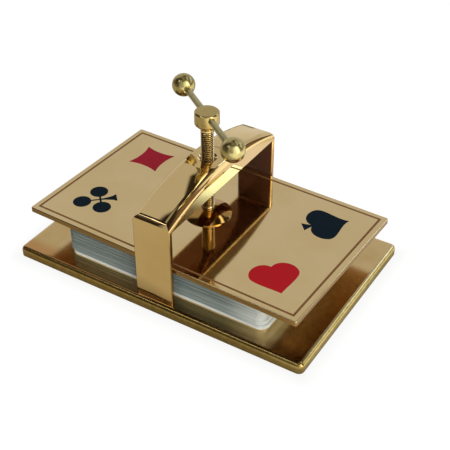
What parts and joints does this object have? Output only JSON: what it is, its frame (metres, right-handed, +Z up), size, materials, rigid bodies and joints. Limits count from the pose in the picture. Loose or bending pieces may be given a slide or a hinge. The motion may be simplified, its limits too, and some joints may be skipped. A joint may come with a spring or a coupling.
{
  "type": "card press",
  "caption": "Brass press that keeps playing cards flat: a screw in a bridge forces a plate with card-suit symbols down on the pack.",
  "frame": {"origin": "centre of the resting face under the felt", "axes": "+X along the base, +Y across it under the bridge, +Z up"},
  "size_m": [0.1264, 0.0802, 0.0682],
  "materials": {
    "polished_brass": "mirror polished",
    "plate_brass": "polished, fine scratches",
    "turned_brass": "turned, satin",
    "screw_brass": "plain",
    "border_enamel": "dark brown enamel",
    "red_enamel": "red enamel",
    "black_enamel": "blue-black enamel",
    "felt": "green felt",
    "card": "coated card, edges showing"
  },
  "bodies": {
    "frame": {"base_plate": "polished_brass", "base_felt": "felt", "bridge": "polished_brass", "leg_screws": "screw_brass"},
    "plate": {"press_plate": "plate_brass", "border_enamel": "border_enamel", "diamond_enamel": "red_enamel", "club_enamel": "black_enamel", "heart_enamel": "red_enamel", "spade_enamel": "black_enamel", "pressure_foot": "turned_brass", "foot_screws": "screw_brass"},
    "screw": {"press_screw": "turned_brass", "keeper_washer": "screw_brass", "keeper_screw": "screw_brass"},
    "bar": {"tommy_bar": "turned_brass", "ball_end_near": "turned_brass", "ball_end_far": "turned_brass"},
    "pack": {"card_pack": "card"}
  },
  "joints": [
    {"name": "plate_lift", "type": "slide", "parent": "frame", "child": "plate", "axis": [0, 0, 1], "range_m": [0, 0.0132]},
    {"name": "screw_turn", "type": "hinge", "parent": "plate", "child": "screw", "pos_m": [0, 0, 0.03], "axis": [0, 0, 1], "range_deg": [0, 5940]},
    {"name": "bar_slide", "type": "slide", "parent": "screw", "child": "bar", "axis": [0.8039, -0.5948, 0], "range_m": [-0.0157, 0.0157]},
    {"name": "pack_slide", "type": "slide", "parent": "frame", "child": "pack", "axis": [1, 0, 0], "range_m": [0, 0.108]}
  ],
  "couplings": [
    {"joint": "screw_turn", "follows": "plate_lift", "rad_per_m": 7854}
  ]
}
